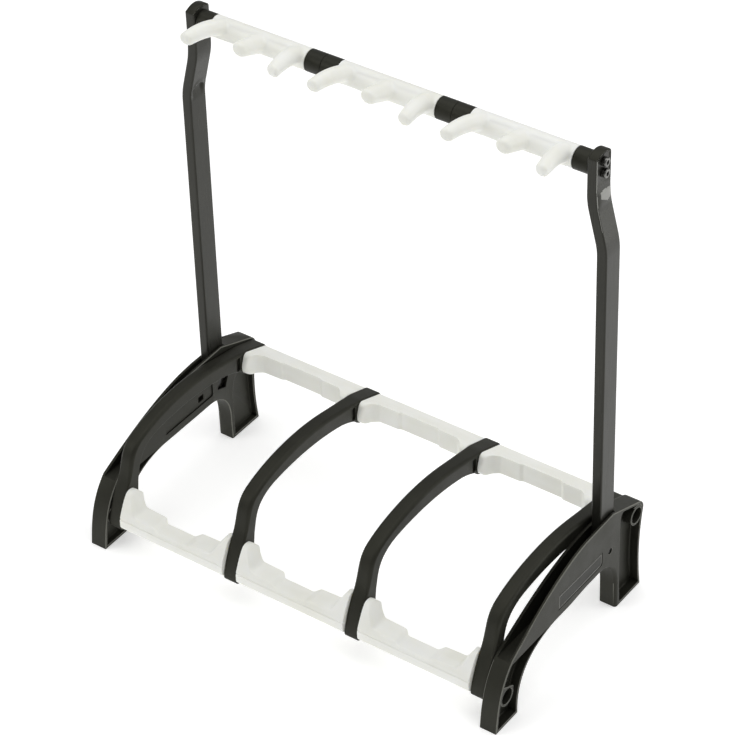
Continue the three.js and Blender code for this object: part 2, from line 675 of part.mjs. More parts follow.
// ---- Assembly ----
const SIDES = [
  ["left", -1],
  ["right", 1],
];
const handed = (geometry, sign) => (sign < 0 ? mirrored(geometry) : geometry);

const labelX = WIDTH / 2 - LABEL_SEAT + GAP + LABEL_THICKNESS / 2;
place(stand, "label_plate", sideSlab(labelPlate, LABEL_THICKNESS), labelBlack(), labelX);
for (const [side, sign] of SIDES) {
  const inner = sign * (WIDTH / 2 - SIDE_THICKNESS);
  place(stand, `side_part_${side}`, handed(sidePart(sign > 0), sign), plastic(), inner);
}

const endArchWidth = WIDTH / 2 - SIDE_THICKNESS - GAP - (1.5 * BAY_PITCH - ARCH_WIDTH / 2);
const endArchX = WIDTH / 2 - SIDE_THICKNESS - GAP - endArchWidth / 2;
for (const [side, sign] of SIDES) {
  place(stand, `end_arch_${side}`, arch(endArchWidth), plastic(), sign * endArchX);
  place(stand, `divider_arch_${side}`, arch(ARCH_WIDTH), plastic(), (sign * BAY_PITCH) / 2);
}

const BAYS = [
  ["left", -1],
  ["centre", 0],
  ["right", 1],
];
for (const [bay, step] of BAYS) {
  place(stand, `front_rest_${bay}`, frontRest(), milky(), step * BAY_PITCH);
  place(stand, `back_rest_${bay}`, backRest(), milky(), step * BAY_PITCH);
}

for (const [end, seat] of [["front", FRONT_TUBE], ["back", BACK_TUBE]]) {
  place(stand, `${end}_cross_tube`, crossTube(seat), steel());
  for (const [side, sign] of SIDES) {
    place(stand, `${end}_tube_plug_${side}`, handed(tubePlug(seat), sign), steel());
    place(stand, `${end}_tube_bolt_${side}`, handed(tubeBolt(seat), sign), blackSteel());
  }
}

const neckFrame = new THREE.Group();
stand.add(neckFrame);
for (const [side, sign] of SIDES) {
  place(neckFrame, `upright_${side}`, handed(upright(), sign), coated());
  place(neckFrame, `upright_cap_${side}`, handed(uprightCap(), sign), plastic());
  place(neckFrame, `neck_bar_block_${side}`, handed(neckBlock(), sign), steel());
  place(neckFrame, `neck_screw_upper_${side}`, handed(neckScrew(0.5), sign), blackSteel());
  place(neckFrame, `neck_screw_lower_${side}`, handed(neckScrew(-0.5), sign), blackSteel());
  place(stand, `pivot_bolt_${side}`, handed(pivotBolt(), sign), steel());
}
place(neckFrame, "neck_bar_core", neckCore(), steel());

const sleeveGap = BAY_PITCH - NECK_REST_LENGTH - 3 * GAP;
const outerSleeve = neckBarEnd - BAY_PITCH - NECK_REST_LENGTH / 2 - GAP;
for (const [bay, step] of BAYS) {
  place(neckFrame, `neck_rest_${bay}`, neckRest(), milky(), step * BAY_PITCH);
  for (const [side, sign] of SIDES) {
    const atUpright = step === sign;
    const length = atUpright ? outerSleeve : sleeveGap / 2;
    const x = step * BAY_PITCH + sign * (NECK_REST_LENGTH / 2 + GAP + length / 2);
    place(neckFrame, `neck_sleeve_${bay}_${side}`, neckSleeve(length), plastic(), x);
  }
}

export default stand;
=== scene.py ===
"""The looks of the guitar rack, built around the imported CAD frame.

Outlines are written as (depth, height) in millimetres, with depth measured back from the
front of the feet, and "at" turns them into points of the frame in metres.
"""

import json
import math

import bmesh
import bpy
from mathutils import Matrix, Vector


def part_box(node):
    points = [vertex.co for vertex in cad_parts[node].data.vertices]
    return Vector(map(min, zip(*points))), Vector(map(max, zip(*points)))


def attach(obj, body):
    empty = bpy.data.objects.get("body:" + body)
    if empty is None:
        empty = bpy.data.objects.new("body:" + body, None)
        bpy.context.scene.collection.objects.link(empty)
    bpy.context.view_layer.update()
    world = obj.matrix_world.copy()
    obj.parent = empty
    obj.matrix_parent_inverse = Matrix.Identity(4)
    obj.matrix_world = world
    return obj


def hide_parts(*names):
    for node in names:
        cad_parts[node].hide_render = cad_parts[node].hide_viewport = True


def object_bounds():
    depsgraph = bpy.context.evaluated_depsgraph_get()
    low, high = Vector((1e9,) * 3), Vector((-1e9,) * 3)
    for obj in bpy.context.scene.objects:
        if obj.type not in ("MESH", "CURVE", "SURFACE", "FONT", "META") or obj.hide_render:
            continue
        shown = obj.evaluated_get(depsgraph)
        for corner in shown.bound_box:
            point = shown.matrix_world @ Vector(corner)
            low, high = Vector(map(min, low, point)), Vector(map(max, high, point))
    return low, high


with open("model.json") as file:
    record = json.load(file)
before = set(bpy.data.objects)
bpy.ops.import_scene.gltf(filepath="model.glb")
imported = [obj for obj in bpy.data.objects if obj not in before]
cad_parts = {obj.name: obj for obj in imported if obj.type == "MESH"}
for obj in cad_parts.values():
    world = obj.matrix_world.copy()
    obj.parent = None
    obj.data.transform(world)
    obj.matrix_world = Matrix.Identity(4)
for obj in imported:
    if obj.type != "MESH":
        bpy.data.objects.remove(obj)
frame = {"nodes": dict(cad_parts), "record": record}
CAD_LOW, CAD_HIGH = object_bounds()

MM = 0.001
SIDES = ("left", "right")
BAYS = ("left", "centre", "right")


def span(node):
    """A CAD node's lowest and highest corner, in millimetres with depth from the front."""
    low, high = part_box(node)
    shift = Vector((0, CAD_LOW.y, 0))
    return (low - shift) / MM, (high - shift) / MM


def at(x, depth, height):
    return Vector((x * MM, CAD_LOW.y + depth * MM, height * MM))


def centre_of(node):
    """(depth, height) of the middle of a CAD node."""
    low, high = span(node)
    return (low.y + high.y) / 2, (low.z + high.z) / 2


# ---- Sizes taken from the frame ----
SIDE_LOW, SIDE_HIGH = span("side_part_right")
INNER_FACE, OUTER_FACE = SIDE_LOW.x, SIDE_HIGH.x
ARCH_LOW, ARCH_HIGH = span("divider_arch_right")
BAY_PITCH = ARCH_LOW.x + ARCH_HIGH.x  # twice the distance of a divider arch from the middle
REST_END = span("front_rest_centre")[1].x
TUBE_LOW, TUBE_HIGH = span("front_cross_tube")
TUBE_RADIUS = (TUBE_HIGH.y - TUBE_LOW.y) / 2
PIN_LOW, PIN_HIGH = (corner.x for corner in span("pivot_bolt_right"))
UPRIGHT_LOW, UPRIGHT_HIGH = span("upright_right")
HALF_DEPTH = (UPRIGHT_HIGH.y - UPRIGHT_LOW.y) / 2
NECK = centre_of("neck_bar_core")
PIVOT = centre_of("pivot_bolt_right")
FRONT_TUBE = centre_of("front_cross_tube")
BACK_TUBE = centre_of("back_cross_tube")
GAP = 0.3

# ---- Sizes of the side part, as in the CAD source ----
OUTER_POCKET = 9.6
INNER_POCKET = 6.5
CHANNEL_WALL = 2.6
CHANNEL_FLOOR = 68.6
CHANNEL_FRONT = 27
BEAM_UNDERSIDE = 65.2
BEAM_FLOOR = 66.3
REAR_FOOT_FRONT = 204.6
FOOT_EDGE = 3.6
LABEL_SEAT = 1.1
CLIP_HOLE = ((160, 81.5), 8.4, 7, 1.2)  # centre, width, height and corner
BOSS_RADIUS = 10.4
BOSS_BORE = 8.2

# ---- Sizes of the pins, bolts and screws, as in the CAD source ----
PIN_RADIUS = 3
BOLT_RADIUS = 3
BOLT_HEAD = (5, 4)  # radius and height
SCREW_RADIUS = 1.5
SCREW_HEAD = (4.4, 4.4)
SCREW_PITCH = 11.5


def step_up(value, low, high):
    """0 below "low", 1 above "high" and smooth between them."""
    t = min(max((value - low) / (high - low), 0), 1)
    return t * t * (3 - 2 * t)


# ---- Outlines ----
class Pen:
    """Draws an outline point by point, with curves and arcs cut into short steps."""

    def __init__(self, start, steps=14):
        self.points = [start]
        self.steps = steps

    def line(self, *points):
        self.points.extend(points)
        return self

    def curve(self, *controls):
        """A Bezier curve from the last point: two controls and an end, or one and an end."""
        knots = [self.points[-1], *controls]
        degree = len(knots) - 1
        for step in range(1, self.steps + 1):
            t = step / self.steps
            weights = [math.comb(degree, i) * t**i * (1 - t) ** (degree - i) for i in range(degree + 1)]
            self.points.append(tuple(sum(w * k[axis] for w, k in zip(weights, knots)) for axis in (0, 1)))
        return self

    def arc(self, centre, radius, start, end):
        for step in range(self.steps + 1):
            a = start + (end - start) * step / self.steps
            self.points.append((centre[0] + radius * math.cos(a), centre[1] + radius * math.sin(a)))
        return self

    def done(self):
        """The closed outline, anticlockwise, without doubled points."""
        kept = [p for i, p in enumerate(self.points) if math.dist(p, self.points[i - 1]) > 1e-3]
        area = sum(a[0] * b[1] - b[0] * a[1] for a, b in zip(kept, kept[1:] + kept[:1]))
        return kept if area > 0 else kept[::-1]


def polygon(*points):
    return Pen(points[0]).line(*points[1:]).done()


def circle(centre, radius, sides=40):
    turns = [2 * math.pi / sides * i for i in range(sides)]
    return [(centre[0] + radius * math.cos(a), centre[1] + radius * math.sin(a)) for a in turns]


def rounded_box(centre, width, height, radius, steps=5):
    pen = Pen((centre[0] + width / 2, centre[1]), steps)
    for i, (sx, sy) in enumerate(((1, 1), (-1, 1), (-1, -1), (1, -1))):
        corner = (centre[0] + sx * (width / 2 - radius), centre[1] + sy * (height / 2 - radius))
        pen.arc(corner, radius, i * math.pi / 2, (i + 1) * math.pi / 2)
    pen.points.pop(0)
    return pen.done()


def inset(outline, distance):
    """The outline moved inward by a distance, or a list of them, and outward where negative."""
    moved = []
    distances = distance if isinstance(distance, list) else [distance] * len(outline)
    for before, here, after, distance in zip(
        outline[-1:] + outline[:-1], outline, outline[1:] + outline[:1], distances
    ):
        a, b = Vector(here) - Vector(before), Vector(after) - Vector(here)
        a, b = Vector((-a.y, a.x)).normalized(), Vector((-b.y, b.x)).normalized()
        both = a + b
        scale = 2 * distance / max(both.length_squared, 0.6)
        moved.append((here[0] + both.x * scale, here[1] + both.y * scale))
    return moved


def quarter(radius, steps):
    """(along, in) pairs round a quarter circle, from the face of a slab to its side."""
    pairs = []
    for step in range(steps + 1):
        a = math.pi / 2 * step / steps
        pairs.append((radius * (1 - math.cos(a)), radius * (1 - math.sin(a))))
    return pairs


# ---- Meshes ----
def linked(name, bm):
    """A new object from a bmesh, with its faces turned outward."""
    bmesh.ops.recalc_face_normals(bm, faces=bm.faces)
    mesh = bpy.data.meshes.new(name)
    bm.to_mesh(mesh)
    bm.free()
    piece = bpy.data.objects.new(name, mesh)
    bpy.context.scene.collection.objects.link(piece)
    return piece


def loft(name, rings, capped=True):
    """A skin over rings of the same number of points, closed at both ends."""
    bm = bmesh.new()
    loops = [[bm.verts.new(point) for point in ring] for ring in rings]
    for lower, upper in zip(loops, loops[1:]):
        for i in range(len(lower)):
            bm.faces.new((lower[i - 1], lower[i], upper[i], upper[i - 1]))
    if capped:
        bm.faces.new(loops[0])
        bm.faces.new(loops[-1])
    return linked(name, bm)


def slab(name, outline, stations):
    """A side-view outline carried across the rack. A station is (x, how far it is inset)."""
    rings = []
    for x, depth in stations:
        ring = inset(outline, depth) if depth else outline
        rings.append([at(x, *point) for point in ring])
    return loft(name, rings)


def rounded_slab(name, outline, low, high, radius, steps=4):
    near = [(low + along, into) for along, into in quarter(radius, steps)]
    far = [(high - along, into) for along, into in reversed(quarter(radius, steps))]
    return slab(name, outline, near + far)


def plain_slab(name, outline, low, high):
    return slab(name, outline, [(low, 0), (high, 0)])


def baked(piece):
    """Applies a piece's modifiers to its mesh."""
    shape = piece.evaluated_get(bpy.context.evaluated_depsgraph_get())
    mesh = bpy.data.meshes.new_from_object(shape)
    piece.modifiers.clear()
    old, piece.data = piece.data, mesh
    bpy.data.meshes.remove(old)
    return piece


def boolean(piece, tools, operation="DIFFERENCE"):
    """Cuts the tools from a piece, or joins them to it, and removes them."""
    for tool in tools:
        change = piece.modifiers.new("change", "BOOLEAN")
        change.operation = operation
        change.solver = "EXACT"
        change.object = tool
    baked(piece)
    for tool in tools:
        bpy.data.objects.remove(tool)
    return piece


def softened(piece, width, steps, chosen):
    """Rounds the sharp edges for which chosen(middle of the edge, in metres) is true."""
    bm = bmesh.new()
    bm.from_mesh(piece.data)
    bmesh.ops.remove_doubles(bm, verts=bm.verts, dist=0.01 * MM)
    bmesh.ops.dissolve_limit(bm, angle_limit=math.radians(0.5), verts=bm.verts, edges=bm.edges)
    edges = [
        edge
        for edge in bm.edges
        if len(edge.link_faces) == 2
        and edge.calc_face_angle(0) > math.radians(50)
        and chosen((edge.verts[0].co + edge.verts[1].co) / 2)
    ]
    bmesh.ops.bevel(
        bm,
        geom=edges,
        offset=width * MM,
        offset_type="OFFSET",
        segments=steps,
        profile=0.5,
        affect="EDGES",
        clamp_overlap=True,
    )
    bm.to_mesh(piece.data)
    bm.free()
    return piece


def narrow_rim(face, widest=0.45, flat=0.02, least_bend=0.2):
    """True for the narrow faces that go round an outer edge."""
    longest = max(edge.calc_length() for edge in face.edges)
    bends = [edge.calc_face_angle_signed(0) for edge in face.edges if edge.calc_length() > longest / 2]
    return face.calc_area() / longest < widest * MM and min(bends) > -flat and max(bends) > least_bend


def with_rims(piece, chosen=narrow_rim):
    """Marks the faces along outer edges, where the materials get a painted highlight."""
    bm = bmesh.new()
    bm.from_mesh(piece.data)
    rim = bm.faces.layers.float.new("rim")
    for face in bm.faces:
        face[rim] = float(chosen(face))
    bm.to_mesh(piece.data)
    bm.free()


def shaded(piece, angle=32, rims=True):
    """Smooth shading up to an angle, with the flat faces kept flat."""
    for face in piece.data.polygons:
        face.use_smooth = True
    piece.data.set_sharp_from_angle(angle=math.radians(angle))
    weighted = piece.modifiers.new("weighted", "WEIGHTED_NORMAL")
    weighted.keep_sharp = True
    baked(piece)
    if rims:
        with_rims(piece)
    return piece


def copied(piece, name, mirrored=False, shift=0.0):
    """A copy of a piece with its own mesh, mirrored across the rack or moved along it."""
    twin = bpy.data.objects.new(name, piece.data.copy())
    bpy.context.scene.collection.objects.link(twin)
    if mirrored:
        bm = bmesh.new()
        bm.from_mesh(twin.data)
        bmesh.ops.scale(bm, vec=(-1, 1, 1), verts=bm.verts)
        bmesh.ops.reverse_faces(bm, faces=bm.faces)
        bm.to_mesh(twin.data)
        bm.free()
    if shift:
        twin.data.transform(Matrix.Translation((shift * MM, 0, 0)))
    return twin


def hand_over(piece, node, look):
    """Gives a finished piece its material and lets it stand for its CAD node."""
    piece.data.materials.clear()
    piece.data.materials.append(look)
    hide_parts(node)
    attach(piece, body_of[node])
    return piece


body_of = {}
for body_name, members in frame["record"]["behaviour"]["bodies"].items():
    for member in members:
        body_of[member] = body_name


# ---- Materials ----
class Look:
    """A procedural material built round one Principled shader."""

    def __init__(self, name, **sockets):
        self.material = bpy.data.materials.new(name)
        self.material.use_nodes = True
        self.nodes = self.material.node_tree.nodes
        self.links = self.material.node_tree.links
        self.shader = self.nodes["Principled BSDF"]
        for socket, value in sockets.items():
            self.shader.inputs[socket.replace("_", " ")].default_value = value
        self.place = self.nodes.new("ShaderNodeTexCoord").outputs["Object"]

    def noise(self, scale, detail=2.0, stretch=None):
        where = self.place
        if stretch:
            mapping = self.nodes.new("ShaderNodeMapping")
            mapping.inputs["Scale"].default_value = stretch
            self.links.new(where, mapping.inputs["Vector"])
            where = mapping.outputs["Vector"]
        node = self.nodes.new("ShaderNodeTexNoise")
        node.inputs["Scale"].default_value = scale
        node.inputs["Detail"].default_value = detail
        self.links.new(where, node.inputs["Vector"])
        return node.outputs["Fac"]

    def grains(self, scale):
        node = self.nodes.new("ShaderNodeTexVoronoi")
        node.inputs["Scale"].default_value = scale
        self.links.new(self.place, node.inputs["Vector"])
        return node.outputs["Distance"]

    def rim(self):
        """1 on the faces that go round outer edges and 0 elsewhere."""
        node = self.nodes.new("ShaderNodeAttribute")
        node.attribute_name = "rim"
        return node.outputs["Fac"]

    def span_of(self, value, low, high, to_low, to_high):
        node = self.nodes.new("ShaderNodeMapRange")
        node.inputs["From Min"].default_value = low
        node.inputs["From Max"].default_value = high
        node.inputs["To Min"].default_value = to_low
        node.inputs["To Max"].default_value = to_high
        self.links.new(value, node.inputs["Value"])
        return node.outputs["Result"]

    def joined(self, a, b, operation="ADD"):
        node = self.nodes.new("ShaderNodeMath")
        node.operation = operation
        self.links.new(a, node.inputs[0])
        self.links.new(b, node.inputs[1])
        return node.outputs["Value"]

    def mix(self, share, first, second):
        """A colour between two, which are colours or the results of other mixes."""
        node = self.nodes.new("ShaderNodeMix")
        node.data_type = "RGBA"
        self.links.new(share, node.inputs["Factor"])
        for socket, colour in ((node.inputs[6], first), (node.inputs[7], second)):
            if isinstance(colour, tuple):
                socket.default_value = (*colour, 1)
            else:
                self.links.new(colour, socket)
        return node.outputs[2]

    def feed(self, socket, value):
        self.links.new(value, self.shader.inputs[socket])

    def bumped(self, *layers):
        """Bump from (height, depth in millimetres) layers, one on top of another."""
        normal = None
        for height, depth in layers:
            node = self.nodes.new("ShaderNodeBump")
            node.inputs["Strength"].default_value = 1.0
            node.inputs["Distance"].default_value = depth * MM
            self.links.new(height, node.inputs["Height"])
            if normal:
                self.links.new(normal, node.inputs["Normal"])
            normal = node.outputs["Normal"]
        self.feed("Normal", normal)


def plastic_look(name, dark, light, roughness, grain):
    look = Look(name, Metallic=0.0, Specular_IOR_Level=0.24, Specular_Tint=(1, 1, 0.82, 1))
    cloud = look.noise(45, 4)
    fine = look.noise(1400, 3)
    tone = look.mix(look.span_of(cloud, 0.35, 0.65, 0, 1), dark, light)
    # painted highlight: the faces round outer edges are lightened to a light grey, broken up by fine noise
    painted_edge_highlight = look.joined(look.rim(), look.span_of(fine, 0.3, 0.7, 0.6, 1), "MULTIPLY")
    look.feed("Base Color", look.mix(painted_edge_highlight, tone, (0.17, 0.17, 0.15)))
    rough = look.span_of(cloud, 0.3, 0.7, roughness - 0.05, roughness + 0.06)
    look.feed("Roughness", look.joined(rough, look.span_of(fine, 0.3, 0.7, -0.03, 0.03)))
    look.bumped((look.grains(1100), grain), (look.noise(160, 3), 0.02))
    return look.material


def tube_look(name):
    look = Look(name, Metallic=0.0, Specular_IOR_Level=0.3, Specular_Tint=(1, 1, 0.88, 1))
    cloud = look.noise(30, 4)
    brushed = look.noise(1.0, 3, stretch=(1500, 1500, 22))
    tone = look.mix(look.span_of(cloud, 0.3, 0.7, 0, 1), (0.012, 0.012, 0.010), (0.0165, 0.0165, 0.0135))
    # painted highlight: the marked corner and patch faces of the tube are coloured light grey
    look.feed("Base Color", look.mix(look.rim(), tone, (0.26, 0.26, 0.245)))
    look.feed("Roughness", look.span_of(brushed, 0.3, 0.7, 0.26, 0.38))
    look.bumped((brushed, 0.012), (look.grains(900), 0.006))
    return look.material


def milky_look(name):
    # painted glow: a weak warm emission lifts the rubber's shaded parts and tints them yellow, standing in
    # for light passing through it
    look = Look(name, Metallic=0.0, Subsurface_Weight=0.3, Subsurface_Scale=0.004, Emission_Strength=0.08)
    look.shader.inputs["Emission Color"].default_value = (1, 1, 0.86, 1)
    look.shader.inputs["Subsurface Radius"].default_value = (1.0, 0.95, 0.75)
    cloud = look.noise(22, 3)
    flow = look.noise(1.0, 3, stretch=(14, 60, 60))
    tone = look.mix(look.span_of(cloud, 0.35, 0.65, 0, 1), (0.775, 0.78, 0.75), (0.735, 0.735, 0.68))
    look.feed("Base Color", look.mix(look.span_of(flow, 0.4, 0.7, 0, 0.5), tone, (0.80, 0.805, 0.79)))
    look.feed("Roughness", look.span_of(look.noise(180, 4), 0.3, 0.7, 0.38, 0.5))
    look.bumped((look.grains(700), 0.012), (look.noise(60, 2), 0.05))
    return look.material


def metal_look(name, dark, light, low, high):
    look = Look(name, Metallic=1.0)
    turned = look.noise(1.0, 3, stretch=(120, 900, 900))
    cloud = look.noise(90, 3)
    tone = look.mix(look.span_of(cloud, 0.35, 0.65, 0, 1), dark, light)
    look.feed("Base Color", tone)
    look.feed("Roughness", look.span_of(turned, 0.3, 0.7, low, high))
    look.bumped((turned, 0.008))
    return look.material


PLASTIC = plastic_look("black_plastic", (0.0135, 0.0135, 0.0105), (0.018, 0.018, 0.014), 0.46, 0.03)
CAP_PLASTIC = plastic_look("cap_plastic", (0.0115, 0.0115, 0.009), (0.0155, 0.0155, 0.012), 0.42, 0.02)
TUBE = tube_look("black_coated_tube")
MILKY = milky_look("milky_rubber")
STEEL = metal_look("bright_steel", (0.55, 0.55, 0.53), (0.68, 0.68, 0.66), 0.2, 0.34)
SCREW_STEEL = metal_look("screw_steel", (0.11, 0.11, 0.105), (0.18, 0.18, 0.17), 0.2, 0.32)
BLACK_STEEL = metal_look("black_bolt", (0.03, 0.03, 0.03), (0.05, 0.05, 0.05), 0.28, 0.42)
LABEL = plastic_look("label_black", (0.006, 0.006, 0.006), (0.009, 0.009, 0.008), 0.42, 0.006)
LABEL_LINE = plastic_look("label_line", (0.22, 0.22, 0.21), (0.27, 0.27, 0.26), 0.4, 0.006)


# ---- Side parts: u is measured from the inner face towards the outer face ----
THICKNESS = OUTER_FACE - INNER_FACE
DEPTH = SIDE_HIGH.y
WEB = (INNER_POCKET, THICKNESS - OUTER_POCKET)

side_outline = (
    Pen((0, 0), 18)
    .curve((3, 30), (8, 52), (CHANNEL_FRONT, 70.5))
    .curve((66, 94), (106, 117), (150, 121.8))
    .line((196, 123.3), (243, 105))
    .curve((250, 102), (DEPTH, 95))
    .curve((243, 62), (243.5, 30), (248.2, 0))
    .line((REAR_FOOT_FRONT, 0), (REAR_FOOT_FRONT - 0.6, 30))
    .curve((REAR_FOOT_FRONT - 1, 50), (193, BEAM_UNDERSIDE), (173, BEAM_UNDERSIDE))
    .line((96, BEAM_UNDERSIDE))
    .curve((64, 62), (34, 50), (35.4, 0))
    .done()
)
underside = (
    Pen((REAR_FOOT_FRONT, -6), 18)
    .line((REAR_FOOT_FRONT - 0.6, 30))
    .curve((REAR_FOOT_FRONT - 1, 50), (193, BEAM_UNDERSIDE), (173, BEAM_UNDERSIDE))
    .line((150, BEAM_UNDERSIDE), (100, BEAM_UNDERSIDE - FOOT_EDGE - 0.4), (100, 40), (190, -6))
    .done()
)
low_wall_top = (
    Pen((CHANNEL_FRONT - 4, 66), 18)
    .line((CHANNEL_FRONT, 70))
    .curve((66, 88), (106, 105), (150, 111))
    .line((170, 112.5), (188, 112.3), (204, 116.5), (218, 113), (218, 140), (CHANNEL_FRONT - 4, 140))
    .done()
)
front_pocket = (
    Pen((3, 3), 16)
    .curve((6, 31), (11, 51), (26, BEAM_FLOOR))
    .line((93, BEAM_FLOOR))
    .curve((60, 62), (31.5, 50), (33, 3))
    .done()
)
rear_outer_pocket = (
    Pen((210.8, 3), 10)
    .line((208.5, 40), (208.5, 100))
    .curve((209, 114.5), (215, 113.2))
    .line((241, 103))
    .curve((247, 100.5), (247.4, 95))
    .curve((240.5, 62), (241, 30), (245.3, 3))
    .done()
)
rear_inner_pocket = (
    Pen((208.6, 3), 10)
    .line((208.6, 50))
    .curve((208.8, 72), (218, 78))
    .line((243.6, 82))
    .curve((240.6, 55), (241, 30), (245.3, 3))
    .done()
)
front_gusset = polygon((5, 38), (12, 48.5), (28.3, 40), (28.3, 33), (18, 34))
back_gusset = polygon((238, 100), (232, 104), (243, 103), (248.6, 95), (247, 84), (240, 90))
label_seat = polygon((103, 74), (176.5, 74), (178, 76), (178, 89.5), (103, 91.5))

RIM = 0.5
FILLET = 1.2
BODY_EDGE = 0.8
WALL_EDGE = 0.45
CLEAR = 0.02  # keeps a cutter from lying exactly on a face
CHANNEL_BACK = PIVOT[0] + HALF_DEPTH + GAP
ABOVE = 200  # higher than any side part
PIVOT_WINDOW = polygon((185.5, 76), (190, 88.5), (203.5, 84), (198, 71.5))


def pocket_stations(floor, face):
    """From a filleted floor to a face with a rounded rim, and a little past it."""
    way = 1 if face > floor else -1
    low = [(floor + way * along, into) for along, into in quarter(FILLET, 4)]
    rim = [(face - way * along, -into) for along, into in reversed(quarter(RIM, 3))]
    return low + rim + [(face + way, -RIM)]


def boss_stations(floor, face):
    """A boss left standing in a pocket: the rim is rounded the other way."""
    way = 1 if face > floor else -1
    rim = [(face - way * along, into) for along, into in reversed(quarter(RIM, 3))]
    return [(floor - way, 0)] + rim + [(face + 2 * way, RIM)]


def shifted(stations):
    """Stations in u as stations in x."""
    return [(INNER_FACE + u, into) for u, into in stations]


def pocket(outline, floor, face, islands):
    """A pocket's cutter, with the bosses that stay standing left out of it."""
    cutter = slab("pocket", outline, shifted(pocket_stations(floor, face)))
    kept = [slab("boss", island, shifted(boss_stations(floor, face))) for island in islands]
    return boolean(cutter, kept) if kept else cutter


def bore(centre, radius, low, high, flare=0.0):
    """A round cutter between two u values, opened out by "flare" at the higher one."""
    opening = [(high, 0)]
    if flare:
        opening = [(high - along, -into) for along, into in reversed(quarter(flare, 3))]
    return slab("bore", circle(centre, radius), shifted([(low, 0), *opening, (high + 1, -flare)]))


def side_part(name, is_right):
    """A side part. The left one is made on the right-hand side too, and mirrored afterwards."""
    body = rounded_slab(name, side_outline, INNER_FACE, OUTER_FACE, BODY_EDGE)
    edge = [(THICKNESS - along, CLEAR - into) for along, into in reversed(quarter(FOOT_EDGE, 6))]
    flare = slab("flare", underside, shifted(edge + [(THICKNESS + 1, CLEAR - FOOT_EDGE)]))
    front_boss, back_boss = circle(FRONT_TUBE, BOSS_RADIUS), circle(BACK_TUBE, BOSS_RADIUS)
    boolean(
        body,
        [
            flare,
            pocket(front_pocket, WEB[1], THICKNESS, (front_boss, front_gusset)),
            pocket(rear_outer_pocket, WEB[1], THICKNESS, (back_boss, back_gusset)),
            pocket(front_pocket, WEB[0], 0, (front_boss,)),
            pocket(rear_inner_pocket, WEB[0], 0, (back_boss,)),
        ],
    )

    channel = polygon((5, CHANNEL_FLOOR), (CHANNEL_BACK, CHANNEL_FLOOR), (CHANNEL_BACK, ABOVE), (5, ABOVE))
    low_wall = (-1, CHANNEL_WALL + 1) if is_right else (THICKNESS - CHANNEL_WALL - 1, THICKNESS + 1)
    boolean(
        body,
        [
            plain_slab("channel", channel, INNER_FACE + CHANNEL_WALL, OUTER_FACE - CHANNEL_WALL),
            plain_slab("wall", low_wall_top, INNER_FACE + low_wall[0], INNER_FACE + low_wall[1]),
        ],
    )

    def on_channel(middle):
        depth, height = (middle.y - CAD_LOW.y) / MM, middle.z / MM
        return CHANNEL_FRONT - 6 < depth < 219 and height > CHANNEL_FLOOR + 1

    softened(body, WALL_EDGE, 3, on_channel)

    label_face, label_floor = (THICKNESS + 1, THICKNESS - LABEL_SEAT) if is_right else (-1, LABEL_SEAT)
    clip_from = THICKNESS - CHANNEL_WALL if is_right else -1
    clip_to = clip_from + CHANNEL_WALL + 1
    cuts = [
        plain_slab("seat", label_seat, INNER_FACE + label_floor, INNER_FACE + label_face),
        plain_slab("clip", rounded_box(*CLIP_HOLE), INNER_FACE + clip_from, INNER_FACE + clip_to),
        bore(PIVOT, PIN_RADIUS + GAP, THICKNESS - CHANNEL_WALL - 1, THICKNESS, 0.3),
    ]
    if not is_right:
        cuts.append(plain_slab("window", PIVOT_WINDOW, INNER_FACE - 1, INNER_FACE + CHANNEL_WALL + 1))
    for seat in (FRONT_TUBE, BACK_TUBE):
        cuts.append(bore(seat, BOSS_BORE, WEB[1], THICKNESS, 0.4))
        cuts.append(bore(seat, BOLT_RADIUS + GAP, WEB[0] - 1, THICKNESS - 5))
        cuts.append(bore(seat, TUBE_RADIUS + GAP, -1, WEB[0]))
    return shaded(boolean(body, cuts))


hand_over(side_part("side_right", True), "side_part_right", PLASTIC)
left_blank = side_part("side_blank", False)
hand_over(copied(left_blank, "side_left", mirrored=True), "side_part_left", PLASTIC)
bpy.data.objects.remove(left_blank)

# ---- Label plate: blank, with a thin raised line round it ----
LABEL_LOW, LABEL_HIGH = span("label_plate")
LINE_HEIGHT = 0.15
PLATE_FACE = LABEL_HIGH.x - LINE_HEIGHT
plate = polygon(
    (LABEL_LOW.y, LABEL_LOW.z),
    (174.8, LABEL_LOW.z),
    (LABEL_HIGH.y, 76.5),
    (LABEL_HIGH.y, 88.8),
    (LABEL_LOW.y, 90.6),
)
label = slab(
    "label",
    plate,
    [
        (LABEL_LOW.x, 0),
        (PLATE_FACE - 0.1, 0),
        (PLATE_FACE, 0.15),
        (PLATE_FACE, 1.0),
        (LABEL_HIGH.x, 1.1),
        (LABEL_HIGH.x, 1.5),
        (PLATE_FACE, 1.6),
    ],
)
hand_over(shaded(label, 20), "label_plate", LABEL)
label.data.materials.append(LABEL_LINE)
for face in label.data.polygons:
    if face.center.x / MM > PLATE_FACE + 0.01 and face.area < 1e-4:
        face.material_index = 1

